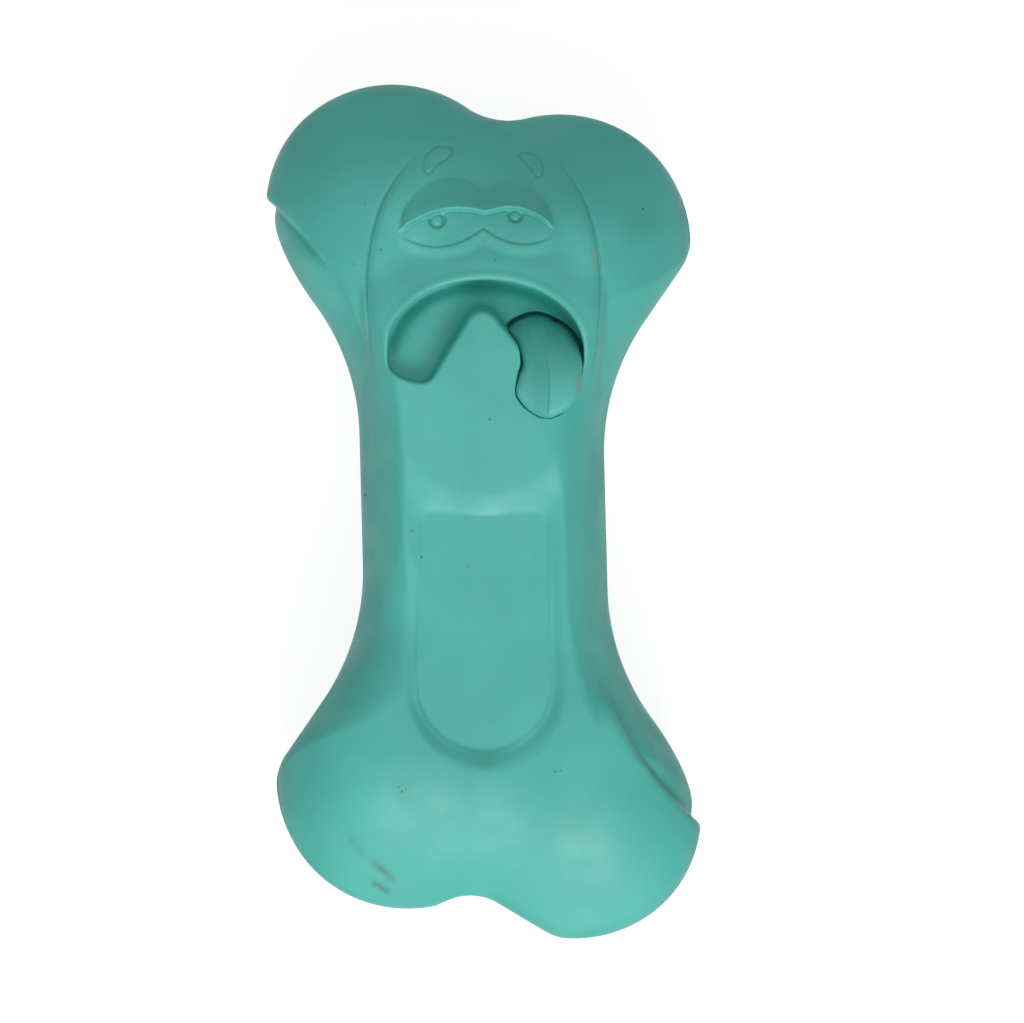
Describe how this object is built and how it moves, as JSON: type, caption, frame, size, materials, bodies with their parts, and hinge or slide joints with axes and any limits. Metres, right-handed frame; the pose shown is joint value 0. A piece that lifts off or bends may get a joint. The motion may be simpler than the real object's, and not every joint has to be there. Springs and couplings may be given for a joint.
{
  "type": "chew toy",
  "caption": "Bone-shaped rubber chew toy with a comic face, an open mouth that holds treats, a loose tongue, a plain dished panel and a squeaker in the back.",
  "frame": {"origin": "middle of the bone, on the surface that its flat back lies on", "axes": "+Z out of the face, +Y along the bone towards the face, +X to the right of the face as it is looked at"},
  "size_m": [0.0774, 0.15, 0.0455],
  "materials": {
    "teal_rubber": "matte",
    "squeaker_plastic": "satin",
    "reed_film": "smooth"
  },
  "bodies": {
    "body": {"front_shell": "teal_rubber", "rear_shell": "teal_rubber", "squeaker_housing": "squeaker_plastic", "squeaker_reed_holder": "squeaker_plastic", "squeaker_reed": "reed_film"},
    "tongue": {"tongue": "teal_rubber"}
  },
  "joints": [
    {"name": "tongue_hinge", "type": "hinge", "parent": "body", "child": "tongue", "pos_m": [0.01003, 0.03101, 0.0332], "axis": [-1, 0, 0], "range_deg": [0, 15], "stiffness_Nm_per_rad": 0.02}
  ]
}
